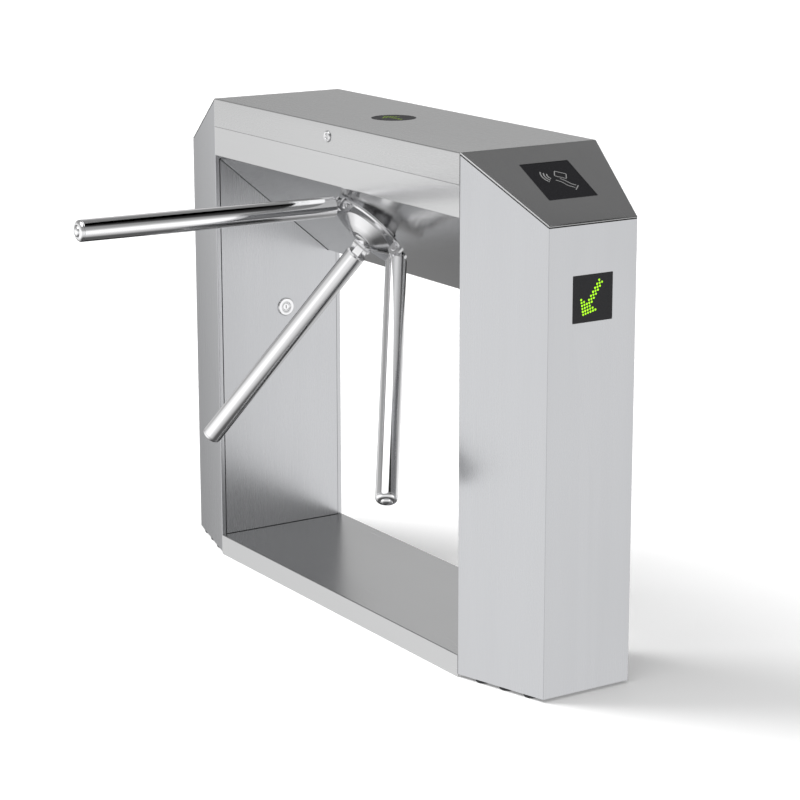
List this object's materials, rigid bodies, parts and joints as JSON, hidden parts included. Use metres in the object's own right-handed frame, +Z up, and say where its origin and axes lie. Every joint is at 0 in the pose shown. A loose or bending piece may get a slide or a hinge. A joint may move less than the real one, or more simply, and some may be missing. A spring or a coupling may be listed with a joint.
{
  "type": "tripod turnstile",
  "caption": "Bridge-type tripod turnstile: tapered sheet-steel legs joined by a lidded bridge and a low base, with a sloping three-arm rotor, card-reader windows and arrow indicators.",
  "frame": {"origin": "on the floor, under the middle of the base plate", "axes": "+X along the length of the body, towards one end leg; +Y away from the rotor side, so the arms stand out on the -Y side; +Z up"},
  "size_m": [1.3, 0.8336, 0.98],
  "materials": {
    "brushed_stainless": "fine vertical brushing, satin",
    "polished_stainless": "mirror-polished stainless tube and castings",
    "smoked_window": "gloss black acrylic sheet",
    "circuit_board": "green coated board with small parts",
    "black_casing": "moulded black housing, matt",
    "plated_steel": "bright zinc plate on folded and cut steel",
    "bearing_steel": "ground and machined steel",
    "plunger_brass": "turned, smooth"
  },
  "bodies": {
    "root": {"bridge_housing": "brushed_stainless", "base_cover": "brushed_stainless", "leg_shell_left": "brushed_stainless", "leg_shell_right": "brushed_stainless", "slope_panel_left": "brushed_stainless", "slope_panel_right": "brushed_stainless", "reader_window_left": "smoked_window", "reader_window_right": "smoked_window", "indicator_window_left": "smoked_window", "indicator_window_right": "smoked_window", "control_board": "circuit_board", "position_sensor": "circuit_board", "indicator_board_left": "circuit_board", "indicator_board_right": "circuit_board", "power_supply": "black_casing", "shaft_damper": "black_casing", "reader_module_left": "black_casing", "reader_module_right": "black_casing", "solenoid_left": "black_casing", "solenoid_right": "black_casing", "base_frame": "plated_steel", "mechanism_chassis": "plated_steel", "housing_hinge_leaf": "plated_steel", "lid_lock_keeper": "plated_steel", "foot_plate_left": "plated_steel", "foot_plate_right": "plated_steel", "door_hinge_rod_left": "plated_steel", "door_hinge_rod_right": "plated_steel", "door_keeper_left": "plated_steel", "door_keeper_right": "plated_steel", "front_bearing": "bearing_steel", "rear_bearing": "bearing_steel", "bearing_housing": "bearing_steel"},
    "lid": {"lid": "brushed_stainless", "top_indicator_window": "smoked_window", "top_indicator_board": "circuit_board", "lid_hinge_leaf": "plated_steel"},
    "lid_lock": {"lid_lock": "polished_stainless"},
    "rotor": {"hub": "polished_stainless", "hub_cap": "polished_stainless", "rotor_shaft": "bearing_steel", "ratchet_wheel": "bearing_steel", "index_cam": "bearing_steel", "left_arm": "polished_stainless", "left_arm_cap": "polished_stainless", "left_arm_pin": "polished_stainless", "right_arm": "polished_stainless", "right_arm_cap": "polished_stainless", "right_arm_pin": "polished_stainless", "barrier_arm_pin": "polished_stainless"},
    "barrier_arm": {"barrier_arm": "polished_stainless", "barrier_arm_cap": "polished_stainless"},
    "leg_door_left": {"leg_door_left": "brushed_stainless"},
    "leg_door_right": {"leg_door_right": "brushed_stainless"},
    "door_lock_left": {"door_lock_left": "polished_stainless"},
    "door_lock_right": {"door_lock_right": "polished_stainless"},
    "pawl_left": {"pawl_left": "plated_steel"},
    "pawl_right": {"pawl_right": "plated_steel"},
    "plunger_left": {"plunger_left": "plunger_brass"},
    "plunger_right": {"plunger_right": "plunger_brass"}
  },
  "joints": [
    {"name": "rotor_spin", "type": "hinge", "parent": "root", "child": "rotor", "pos_m": [0.014, -0.082, 0.749], "axis": [0, -0.766, -0.6428], "continuous": true},
    {"name": "barrier_arm_drop", "type": "hinge", "parent": "rotor", "child": "barrier_arm", "pos_m": [0.00688, -0.12494, 0.81924], "axis": [0.9962, -0.056, 0.0668], "range_deg": [0, 90]},
    {"name": "lid_hinge", "type": "hinge", "parent": "root", "child": "lid", "pos_m": [0, 0.154, 0.9661], "axis": [-1, 0, 0], "range_deg": [0, 75]},
    {"name": "lid_lock_turn", "type": "hinge", "parent": "lid", "child": "lid_lock", "pos_m": [0, -0.15, 0.955], "axis": [0, -1, 0], "range_deg": [0, 90]},
    {"name": "leg_door_left_hinge", "type": "hinge", "parent": "root", "child": "leg_door_left", "pos_m": [-0.4575, -0.1355, 0.45], "axis": [0, 0, -1], "range_deg": [0, 70]},
    {"name": "door_lock_left_turn", "type": "hinge", "parent": "leg_door_left", "child": "door_lock_left", "pos_m": [-0.453, 0.014, 0.524], "axis": [1, 0, 0], "range_deg": [0, 90]},
    {"name": "pawl_left_turn", "type": "hinge", "parent": "root", "child": "pawl_left", "pos_m": [-0.052, -0.02369, 0.84753], "axis": [0, -0.766, -0.6428], "range_deg": [0, 10], "stiffness_Nm_per_rad": 0.1, "springref_deg": -11.46},
    {"name": "plunger_left_slide", "type": "slide", "parent": "root", "child": "plunger_left", "axis": [-1, 0, 0], "range_m": [0, 0.004]},
    {"name": "leg_door_right_hinge", "type": "hinge", "parent": "root", "child": "leg_door_right", "pos_m": [0.4575, -0.1355, 0.45], "axis": [0, 0, 1], "range_deg": [0, 70]},
    {"name": "door_lock_right_turn", "type": "hinge", "parent": "leg_door_right", "child": "door_lock_right", "pos_m": [0.453, 0.014, 0.524], "axis": [1, 0, 0], "range_deg": [0, 90]},
    {"name": "pawl_right_turn", "type": "hinge", "parent": "root", "child": "pawl_right", "pos_m": [0.08, -0.02369, 0.84753], "axis": [0, 0.766, 0.6428], "range_deg": [0, 10], "stiffness_Nm_per_rad": 0.1, "springref_deg": -11.46},
    {"name": "plunger_right_slide", "type": "slide", "parent": "root", "child": "plunger_right", "axis": [1, 0, 0], "range_m": [0, 0.004]}
  ],
  "couplings": [
    {"joint": "plunger_left_slide", "follows": "pawl_left_turn", "m_per_rad": 0.022},
    {"joint": "plunger_right_slide", "follows": "pawl_right_turn", "m_per_rad": 0.022}
  ]
}
